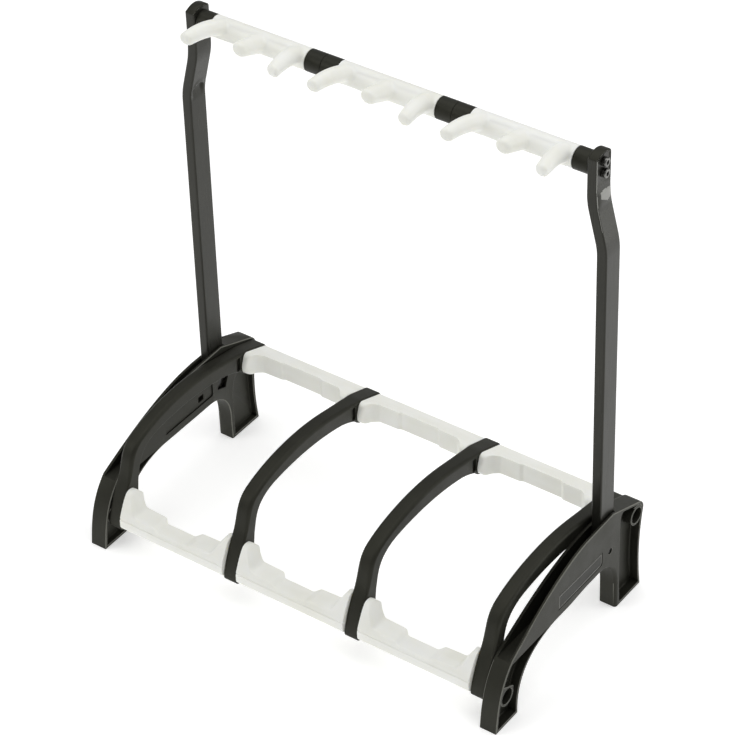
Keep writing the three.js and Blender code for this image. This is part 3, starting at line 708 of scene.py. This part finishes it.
# ---- Arches ----
arch_outline = (
    Pen((8, 29.5), 12)
    .curve((10, 42), (17, 57), (24.5, 71))
    .curve((32, 85), (30, 104), (48, 112.5))
    .curve((72, 123.5), (106, 127), (132, 126.2))
    .curve((165, 125), (190, 117.5), (218, 111.5))
    .line((243.5, 102.8))
    .curve((247.8, 101), (247.8, 96))
    .line((247.5, 86))
    .curve((246, 80.8), (240, 80.8))
    .line((222, 82.5))
    .curve((208, 86), (205, 92))
    .curve((194, 98.5), (182, 102))
    .curve((150, 110), (110, 112.5), (73, 106.8))
    .curve((44, 101), (44.5, 84), (40.2, 69))
    .line((38.8, 58))
    .curve((39, 40), (34, 24), (18, 23.8))
    .curve((8, 23.8), (8, 29.5))
    .done()
)
UPPER_EDGE = 3.8
LOWER_EDGE = 1.5
HEAD_EDGE = 1.3
EDGE_STEPS = (0, 0.12, 0.35, 0.7, 1.1, 1.6, 2.3, 3.0, UPPER_EDGE)
ARCH_SLOT = ((202, 103.5), 5.6, 15, 1.2)  # centre, width, height and corner
SLOT_SUNK = 2.5


def arch_edge(point, above):
    """How far the arch's edges are rounded: little at its two heads, more along the bow's top."""
    from_front = step_up(math.dist(point, FRONT_TUBE), 24, 62)
    from_back = step_up(math.dist(point, BACK_TUBE), 26, 70)
    return HEAD_EDGE + ((UPPER_EDGE if above else LOWER_EDGE) - HEAD_EDGE) * from_front * from_back


def arch_edges():
    """The rounding at each point. The outline runs along the bow's underside towards the front."""
    closed = arch_outline[-1:] + arch_outline + arch_outline[:1]
    edges = []
    for before, here, after in zip(closed, closed[1:], closed[2:]):
        run, rise = after[0] - before[0], after[1] - before[1]
        edges.append(arch_edge(here, run < 0 if abs(run) > abs(rise) else rise < 0))
    return edges


def arch(name, low, high):
    """The bow with rounded edges, a slot in each side near the back and holes for the tubes."""
    edges = arch_edges()
    rings = []
    for along in EDGE_STEPS:
        into = [r - math.sqrt(r * r - (r - along) ** 2) if along < r else 0 for r in edges]
        rings.append((along, inset(arch_outline, into)))
    near = [[at(low + along, *point) for point in ring] for along, ring in rings]
    far = [[at(high - along, *point) for point in ring] for along, ring in reversed(rings)]
    piece = loft(name, near + far)
    slot = rounded_box(*ARCH_SLOT)
    tools = [
        plain_slab("slot", slot, low - 1, low + SLOT_SUNK),
        plain_slab("slot", slot, high - SLOT_SUNK, high + 1),
    ]
    for seat in (FRONT_TUBE, BACK_TUBE):
        tools.append(plain_slab("hole", circle(seat, TUBE_RADIUS + GAP), low - 1, high + 1))
    return shaded(boolean(piece, tools), rims=False)


for kind in ("end", "divider"):
    for side in SIDES:
        node = f"{kind}_arch_{side}"
        low, high = span(node)
        hand_over(arch(f"{kind}_bow_{side}", low.x, high.x), node, PLASTIC)


# ---- Rests ----
def between(value, table):
    """Straight-line reading of a table of (where, what) rows."""
    if value <= table[0][0]:
        return table[0][1]
    for (a, low), (b, high) in zip(table, table[1:]):
        if value <= b:
            return low + (high - low) * (value - a) / (b - a)
    return table[-1][1]


def eased(value, table, reach):
    """The same, averaged over a short stretch so that its corners are round."""
    return sum(between(abs(value + reach * k / 4), table) for k in range(-4, 5)) / 9


def soft_least(a, b, blend):
    """The smaller of two numbers, with a rounded corner where they meet."""
    near = max(blend - abs(a - b), 0) / blend
    return min(a, b) - near * near * blend / 4


def divided(outline, longest):
    """The outline with its long edges cut into equal parts."""
    points = []
    for a, b in zip(outline, outline[1:] + outline[:1]):
        parts = math.ceil(math.dist(a, b) / longest)
        for i in range(parts):
            points.append((a[0] + (b[0] - a[0]) * i / parts, a[1] + (b[1] - a[1]) * i / parts))
    return points


def holed_loft(name, rings, ends):
    """A skin over rings with a hole along it. "ends" are the hole's two rings."""
    bm = bmesh.new()
    loops = [[bm.verts.new(point) for point in ring] for ring in (*rings, ends[1], ends[0])]
    for lower, upper in zip(loops, loops[1:] + loops[:1]):
        for i in range(len(lower)):
            bm.faces.new((lower[i - 1], lower[i], upper[i], upper[i - 1]))
    return linked(name, bm)


def rest(name, section, shape, seat, end, longest=1.3, step=1.1, edge=0.8):
    """A moulding along x. shape(x, point) trims the section at each place."""
    base = divided(section, longest)
    rounding = [(end - along, into) for along, into in reversed(quarter(edge, 4))]
    straight = int(2 * (end - edge) / step)
    middle = [(-end + edge + 2 * (end - edge) * i / straight, 0) for i in range(1, straight)]
    stations = [(-x, into) for x, into in reversed(rounding)] + middle + rounding
    rings = []
    for x, into in stations:
        trimmed = [shape(x, point) for point in base]
        ring = inset(trimmed, into) if into else trimmed
        rings.append([at(x, *point) for point in ring])
    hole = []
    for x in (-end, end):
        ring = []
        for depth, height in (shape(x, point) for point in base):
            away = Vector((depth - seat[0], height - seat[1])).normalized() * (TUBE_RADIUS + GAP)
            ring.append(at(x, seat[0] + away.x, seat[1] + away.y))
        hole.append(ring)
    return shaded(holed_loft(name, rings, hole), 40, rims=False)


front_section = (
    Pen((6.2, 33.5), 12)
    .line((6.2, 40.3))
    .curve((6.2, 41.0), (6.7, 41.2))
    .curve((7.5, 41.6), (7.2, 42.2))
    .curve((6.6, 42.6), (7.0, 43.6))
    .curve((9, 48), (14, 60), (19, 65.5))
    .curve((22, 68.6), (27, 68.4), (30, 65.6))
    .line((37.6, 57.6))
    .curve((38, 42), (34, 26.4), (20, 26.2))
    .curve((7.5, 26.4), (6.2, 33.5))
    .done()
)
# (distance from the middle of the bay, greatest height or depth there)
FRONT_HEIGHTS = (
    (17.4, 45),
    (22.5, 47.6),
    (45.3, 48.6),
    (48.6, 51),
    (51.8, 57.2),
    (54.2, 62.8),
    (58, 68),
    (63, 69),
)
FRONT_DEPTHS = ((17.4, 25), (20.5, 29.6), (46, 29.6), (51.8, 32.5), (56, 38), (63, 39))


def front_shape(x, point):
    """Keeps the front rest's section under its saddle, which is lowest in the middle."""
    depth = soft_least(point[0], eased(x, FRONT_DEPTHS, 1.6), 2.2)
    height = soft_least(point[1], eased(x, FRONT_HEIGHTS, 1.4), 2.6)
    return depth, height


back_section = (
    Pen((211.5, 89), 12)
    .curve((205.5, 90.5), (205.7, 98.5))
    .line((209.3, 108.6))
    .curve((211, 112.4), (215.5, 112.2))
    .line((243.2, 102))
    .curve((246.6, 100.6), (246.6, 97))
    .line((246.6, 87.5))
    .curve((246, 83), (240, 82.8))
    .line((221, 88.2))
    .done()
)
BACK_TOP = (215.5, 112.2)  # front end of the sloping top
BACK_SLOPE = 0.3682
# (distance from the middle of the bay, least depth there)
BACK_DEPTHS = ((22.5, 224.2), (23.5, 222), (46, 221.4), (52, 216.5), (56, 208), (59, 205.7), (63, 205.5))


def back_shape(x, point):
    """Keeps the back rest's section behind its hollow front and under its sloping top."""
    depth = -soft_least(-point[0], -eased(x, BACK_DEPTHS, 1.2), 2.4)
    return depth, soft_least(point[1], BACK_TOP[1] - (depth - BACK_TOP[0]) * BACK_SLOPE, 1.2)


for kind, section, shape, seat in (
    ("front", front_section, front_shape, FRONT_TUBE),
    ("back", back_section, back_shape, BACK_TUBE),
):
    blank = rest(f"{kind}_blank", section, shape, seat, REST_END)
    for index, bay in enumerate(BAYS):
        piece = copied(blank, f"{kind}_pad_{bay}", shift=(index - 1) * BAY_PITCH)
        hand_over(piece, f"{kind}_rest_{bay}", MILKY)
    bpy.data.objects.remove(blank)

# ---- Neck rests ----
NECK_REST_END = span("neck_sleeve_centre_right")[0].x - GAP
BAR_RADIUS = 10.8
BAR_HOLE = (10.6, 18.6)  # depth and height
HORN_ROOT_X = 41.9
HORN_TIP = (48.4, 144, 519.3)
HORN_RADII = (9, 8.2, 6.8)
HORN_LIFT = 1.8
HORN_BOW = 3.7
PRONG_TIP = (0, 159, 516.6)
PRONG_RADII = (10.4, 9, 7.8)
TIP_ROUNDING = 0.7
MELT_VOXEL = 0.85


def horn(root_x, tip, radii, lift=0, bow=0, sides=32, steps=18):
    """A tapered horn with a round tip, arched upward half way along."""
    reach = NECK[0] - tip[1]
    rounding = TIP_ROUNDING * radii[2]
    profile = Pen((radii[0], 0), steps).curve((radii[1], reach * 0.45), (radii[2], reach))
    profile.arc((radii[2] - rounding, reach), rounding, 0, math.pi / 2)
    rings = []
    for radius, along in profile.points:
        t = along / reach
        rise = lift + (tip[2] - NECK[1] - lift) * t + 4 * bow * t * max(0.0, 1 - t)
        x = root_x + (tip[0] - root_x) * t
        rings.append([at(a, NECK[0] - along, b) for a, b in circle((x, NECK[1] + rise), radius, sides)])
    return loft("horn", rings)


def melted(piece, iterations, weight=None):
    """Smooths a piece. weight(depth in front of the bar's axis, height over it) says where."""
    melt = piece.modifiers.new("melt", "SMOOTH")
    melt.factor = 0.5
    melt.iterations = iterations
    if weight:
        group = piece.vertex_groups.new(name="melt")
        for vertex in piece.data.vertices:
            ahead = NECK[0] - (vertex.co.y - CAD_LOW.y) / MM
            group.add([vertex.index], weight(ahead, vertex.co.z / MM - NECK[1]), "REPLACE")
        melt.vertex_group = "melt"
    baked(piece)
    piece.vertex_groups.clear()


def at_root(ahead, above):
    """1 round the roots of the horns and 0 further out and behind the bar's axis."""
    return step_up(ahead, 1, 6) * (1 - step_up(math.hypot(ahead, above), 16, 22))


def bar_hole(low, high):
    """The cutter for the flat tube inside the neck bar."""
    return plain_slab("core", rounded_box(NECK, *BAR_HOLE, 0.3, 2), low - 1, high + 1)


def neck_rest(name):
    """The bar is made longer than it ends up, so that the melting leaves its ends sharp."""
    end, spare = NECK_REST_END, 12
    bar = plain_slab(name, circle(NECK, BAR_RADIUS, 64), -end - spare, end + spare)
    horns = [horn(0, PRONG_TIP, PRONG_RADII)]
    for side in (1, -1):
        tip = (side * HORN_TIP[0], *HORN_TIP[1:])
        horns.insert(0, horn(side * HORN_ROOT_X, tip, HORN_RADII, HORN_LIFT, HORN_BOW))
    boolean(bar, horns, "UNION")
    even = bar.modifiers.new("even", "REMESH")
    even.mode = "VOXEL"
    even.voxel_size = MELT_VOXEL * MM
    baked(bar)
    melted(bar, 4)
    melted(bar, 34, at_root)
    round_bar = circle(NECK, BAR_RADIUS + 1.2, 48)
    trims = [plain_slab("trim", round_bar, a, a + 20) for a in (-end - 20, end)]
    return shaded(boolean(bar, [*trims, bar_hole(-end, end)]), 50, rims=False)


blank = neck_rest("neck_blank")
for index, bay in enumerate(BAYS):
    piece = copied(blank, f"neck_cradle_{bay}", shift=(index - 1) * BAY_PITCH)
    hand_over(piece, f"neck_rest_{bay}", MILKY)
bpy.data.objects.remove(blank)

for bay in BAYS:
    for side in SIDES:
        node = f"neck_sleeve_{bay}_{side}"
        low, high = span(node)
        sleeve = rounded_slab(f"sleeve_{bay}_{side}", circle(NECK, BAR_RADIUS, 64), low.x, high.x, 0.35, 3)
        boolean(sleeve, [bar_hole(low.x, high.x)])
        hand_over(shaded(sleeve, rims=False), node, CAP_PLASTIC)

# ---- Uprights ----
HALF_THICKNESS = 5.25
CORNER = 1.5
LOW_X = (INNER_FACE + OUTER_FACE) / 2
LEAN = 1.2
HIGH_X = 215.8
CRANK = (427, 473)
CAP_SEAM = 517.5
CAP_RISE = 3
CAP_SKIRT = 5
PRESSED_FROM = 490
PRESSED_DEPTH = 1.2
PRESSED_SIDES = (9.6, 10.6)  # where the flat ends, front and back
BULGE_FROM = (462, 474)
BULGE_DEPTH = 1.5
FOLD = 433  # height of the crease inside the crank
FOLD_FROM = 418
FOLD_DEPTH = 2.3
LIP_DEPTH = 0.5
CAP_EASE_FROM = 506
RING_STEP = 0.9
FOOT_RINGS = 12
UPRIGHT_PATH = ((PIVOT[1], LOW_X), (CRANK[0], LOW_X - LEAN), (CRANK[1], HIGH_X), (600, HIGH_X))


def centre_x(height):
    """The tube's middle at a height, with both bends rounded."""
    return sum(between(height + k, UPRIGHT_PATH) for k in range(-8, 9)) / 17


def upright_section():
    """(across, along) points of the tube's section, closer at its corners."""
    across, along = HALF_THICKNESS - CORNER, HALF_DEPTH - CORNER
    points = []
    for i, (sx, sy) in enumerate(((1, 1), (-1, 1), (-1, -1), (1, -1))):
        for k in range(7):
            a = (i + k / 6) * math.pi / 2
            points.append((sx * across + CORNER * math.cos(a), sy * along + CORNER * math.sin(a)))
        flat, side = (6, (-2 * across, 0)) if i % 2 == 0 else (22, (0, -2 * along))
        way = -1 if i >= 2 else 1
        last = points[-1]
        for k in range(1, flat):
            points.append((last[0] + way * side[0] * k / flat, last[1] + way * side[1] * k / flat))
    return points


def pressed_edge(share):
    """Height of the arched lower edge of the pressed flat."""
    return PRESSED_FROM + 2.6 * (1 - share**2) - 0.5 * share


def upright_point(height, across, along):
    """A point of the bent tube, with its pressed flat and the crease inside the crank."""
    share = along / HALF_DEPTH
    slope = (centre_x(height + 1) - centre_x(height - 1)) / 2
    tilt = math.atan(slope)
    if across > 0:
        arc = pressed_edge(share)
        pressed = step_up(height, arc - 3.5, arc + 1.2) * (1 - step_up(abs(along), *PRESSED_SIDES))
        pressed *= 1 - step_up(height, CAP_SEAM - 1.6, CAP_SEAM - 0.6)
        bulge = step_up(height, *BULGE_FROM) * (1 - step_up(height, arc - 13, arc - 4)) * (1 - share**4)
        across += (BULGE_DEPTH * bulge - PRESSED_DEPTH * pressed) * step_up(across, 3.0, 4.6)
    else:
        reach = 1 - step_up(abs(along + 1), 5, 9.5)
        fold = FOLD + 4 * (1 - ((along + 1) / 8) ** 2)
        crease = step_up(height, FOLD_FROM, fold - 3) * (1 - step_up(height, fold - 0.8, fold + 0.6))
        lip = step_up(height, fold - 0.8, fold + 0.8) * (1 - step_up(height, fold + 0.8, fold + 6))
        across += (FOLD_DEPTH * crease - LIP_DEPTH * lip) * reach * step_up(-across, 2.0, 4.6)
    x = centre_x(height) + across * math.cos(tilt)
    z = height - across * math.sin(tilt)
    z += CAP_RISE * (1 - share**2) * step_up(height, CAP_EASE_FROM, CAP_SEAM)
    return at(x, PIVOT[0] + along, z)


def upright(name):
    """A round foot about the pivot, coarse rings up the straight part and fine ones above."""
    section = upright_section()
    rings = []
    for k in range(FOOT_RINGS):
        a = math.pi / 2 * (1 - k / FOOT_RINGS) * 0.985
        scale, height = math.cos(a), PIVOT[1] - HALF_DEPTH * math.sin(a)
        rings.append([upright_point(height, across, along * scale) for across, along in section])
    heights = [PIVOT[1] + 13 * k for k in range(26)]
    fine_from = heights[-1] + 1
    fine_steps = math.ceil((CAP_SEAM - 0.4 - fine_from) / RING_STEP)
    heights += [fine_from + RING_STEP * k for k in range(fine_steps)]
    heights.append(CAP_SEAM)
    rings += [[upright_point(height, *point) for point in section] for height in heights]
    tube = loft(name, rings)
    holes = [plain_slab("hole", circle(PIVOT, PIN_RADIUS + GAP), LOW_X - 12, LOW_X + 12)]
    for step in (-0.5, 0.5):
        centre = (NECK[0], NECK[1] + step * SCREW_PITCH)
        holes.append(plain_slab("hole", circle(centre, SCREW_RADIUS + GAP, 24), HIGH_X - 12, HIGH_X + 12))
    shaded(boolean(tube, holes), 38, rims=False)
    # the corners and the patch below the pressed flat are marked for a painted highlight
    with_rims(tube, painted_highlight_faces)
    return tube


def painted_highlight_faces(face):
    """The corners beside the pressed flat, and a patch below it, which get a painted highlight."""
    middle, normal = face.calc_center_median(), face.normal
    along, height = (middle.y - at(0, PIVOT[0], 0).y) / MM, middle.z / MM
    corner = height > CRANK[0] + 20 and 0.6 < normal.x < 0.82 and abs(normal.y) > 0.5
    below = pressed_edge(along / HALF_DEPTH) - height
    patch = 8.5 < below < 21 - 0.6 * abs(along - 3) and along > -6.5
    return corner or (patch and normal.x > 0.85)


def cap(name):
    """A rounded block, cut from below by the arched top of the tube."""
    low, high = span("upright_cap_right")
    front, back, seam = PIVOT[0] - HALF_DEPTH, PIVOT[0] + HALF_DEPTH, CAP_SEAM + GAP
    rise = high.z - CAP_SEAM - 0.8
    radius = (HALF_DEPTH**2 + rise**2) / (2 * rise)
    angle = math.asin(HALF_DEPTH / radius)
    top = Pen((front, CAP_SEAM - CAP_SKIRT), 24).line((back, CAP_SEAM - CAP_SKIRT))
    top.arc((PIVOT[0], high.z - radius), radius, math.pi / 2 - angle, math.pi / 2 + angle)
    piece = rounded_slab(name, top.done(), low.x, high.x, 1.7, 5)
    seat = Pen((front - 8, 480), 24).line((back + 8, 480), (back + 8, seam), (back, seam))
    seat.curve((PIVOT[0], seam + 2 * CAP_RISE), (front, seam)).line((front - 8, seam))
    return shaded(boolean(piece, [plain_slab("seat", seat.done(), low.x - 5, high.x + 5)]))


# ---- Screws, bolts and pins: turned along x, with a hexagon socket in the end ----
def hexagon(centre, apothem, sides=48):
    """A hexagon of many points, which pairs off with the rings of a round head."""
    points = []
    for i in range(sides):
        a = 2 * math.pi * i / sides
        radius = apothem / math.cos((a + math.pi / 6) % (math.pi / 3) - math.pi / 6)
        points.append((centre[0] + radius * math.cos(a), centre[1] + radius * math.sin(a)))
    return points


def screw(name, centre, tail, seat, shank, head, apothem, dome):
    """"head" is (radius, height); "dome" is how much of the height is rounded."""
    radius, height = head
    top = seat + height
    profile = [(tail, shank - 0.4), (tail + 0.4, shank), (seat, shank)]
    profile += [(seat, radius - 0.2), (seat + 0.2, radius), (top - dome, radius)]
    for k in range(1, 6):
        a = math.pi / 2 * k / 5
        profile.append((top - dome + dome * math.sin(a), radius - dome * 1.15 * (1 - math.cos(a))))
    rings = [[at(x, *point) for point in circle(centre, r, 48)] for x, r in profile]
    for x, grow in ((top, 0.35), (top - 0.35, 0), (top - 0.62 * height, 0), (top - 0.72 * height, -0.5)):
        rings.append([at(x, *point) for point in hexagon(centre, apothem + grow)])
    return shaded(loft(name, rings), 40)


def pin(name):
    """The hinge pin, with its wider head at the inner end and a dimple in the outer end."""
    low, high, r = PIN_LOW, PIN_HIGH, PIN_RADIUS
    profile = [(low, r + 0.8), (low + 0.4, r + 1.2), (low + 0.85, r + 1.2), (low + 0.9, r), (high - 0.5, r)]
    profile += [(high - 0.15, r - 0.2), (high, r - 0.6), (high, 1), (high - 0.4, 0.4)]
    rings = [[at(x, *point) for point in circle(PIVOT, radius, 48)] for x, radius in profile]
    return shaded(loft(name, rings))


def pair(piece, right_name, node, look):
    """Hands over a right-hand piece and its mirrored twin."""
    twin = copied(piece, right_name.replace("right", "left"), mirrored=True)
    piece.name = right_name
    hand_over(piece, f"{node}_right", look)
    hand_over(twin, f"{node}_left", look)


pair(upright("tube_right"), "tube_right", "upright", TUBE)
pair(cap("cap_right"), "cap_right", "upright_cap", CAP_PLASTIC)
pair(pin("pin_right"), "pin_right", "pivot_bolt", BLACK_STEEL)
for level, step in (("upper", 0.5), ("lower", -0.5)):
    node = f"neck_screw_{level}"
    low, high = span(f"{node}_right")
    centre = (NECK[0], NECK[1] + step * SCREW_PITCH)
    piece = screw("screw", centre, low.x, high.x - SCREW_HEAD[1], SCREW_RADIUS, SCREW_HEAD, 1.9, 1.0)
    pair(piece, f"{level}_screw_right", node, SCREW_STEEL)
for place, seat in (("front", FRONT_TUBE), ("back", BACK_TUBE)):
    node = f"{place}_tube_bolt"
    low, high = span(f"{node}_right")
    piece = screw("bolt", seat, low.x, high.x - BOLT_HEAD[1], BOLT_RADIUS, BOLT_HEAD, 2.5, 0.8)
    pair(piece, f"{place}_bolt_right", node, BLACK_STEEL)

# ---- CAD nodes that stay as they are, inside the rests and the neck bar ----
for name, node in frame["nodes"].items():
    if not node.hide_render:
        node.data.materials.clear()
        node.data.materials.append(STEEL)

# ---- Floor, light and camera ----
scene = bpy.context.scene
bm = bmesh.new()
bmesh.ops.create_grid(bm, x_segments=8, y_segments=8, size=6)
floor = linked("floor", bm)
floor_look = Look("floor", Roughness=0.8, Emission_Strength=0.36)
floor_look.shader.inputs["Emission Color"].default_value = (1, 1, 1, 1)
floor_tone = floor_look.mix(floor_look.noise(2, 2), (0.93, 0.93, 0.925), (0.95, 0.95, 0.945))
floor_look.feed("Base Color", floor_tone)
floor.data.materials.append(floor_look.material)

world = bpy.data.worlds.new("studio")
scene.world = world
world.use_nodes = True
world.node_tree.nodes["Background"].inputs["Color"].default_value = (1, 1, 1, 1)
world.node_tree.nodes["Background"].inputs["Strength"].default_value = 0.36


def softbox(name, place, aim, size, power):
    """A rectangular area light at a place, aimed at a point."""
    light = bpy.data.lights.new(name, "AREA")
    light.shape = "RECTANGLE"
    light.size, light.size_y = size
    light.energy = power
    lamp = bpy.data.objects.new(name, light)
    lamp.location = place
    lamp.rotation_mode = "QUATERNION"
    lamp.rotation_quaternion = (Vector(aim) - Vector(place)).to_track_quat("-Z", "Y")
    scene.collection.objects.link(lamp)


softbox("top", (0.2, 0.3, 2.6), (0, 0, 0), (3.2, 3.2), 45)
softbox("front_left", (-1.8, -1.8, 1.9), (0, 0, 0.2), (1.6, 1.6), 16)
softbox("right", (1.27, 0.9, 0.5), (0.2, 0.05, 0.4), (0.5, 1.3), 5.4)

AZIMUTH, ELEVATION, ROLL = (math.radians(a) for a in (36.67, 38.03, -1.954))
TARGET = at(-19.84, 170.24, 200)
DISTANCE = 2.89593
IMAGE_WIDTH = 736
FOCAL_WIDTH = 3080.09  # focal length, in the same unit as the image's width
level = math.cos(ELEVATION)
back = Vector((math.sin(AZIMUTH) * level, -math.cos(AZIMUTH) * level, math.sin(ELEVATION)))
right = Vector((math.cos(AZIMUTH), math.sin(AZIMUTH), 0))
up = back.cross(right)
rolled_right = right * math.cos(ROLL) + up * math.sin(ROLL)
rolled_up = up * math.cos(ROLL) - right * math.sin(ROLL)
camera_data = bpy.data.cameras.new("camera")
camera_data.sensor_width = 36
camera_data.lens = FOCAL_WIDTH / IMAGE_WIDTH * camera_data.sensor_width
camera_data.clip_end = 50
camera = bpy.data.objects.new("camera", camera_data)
basis = Matrix((rolled_right, rolled_up, back)).transposed().to_4x4()
basis.translation = TARGET + back * DISTANCE
camera.matrix_world = basis
scene.collection.objects.link(camera)
scene.camera = camera
scene.view_settings.view_transform = "Standard"
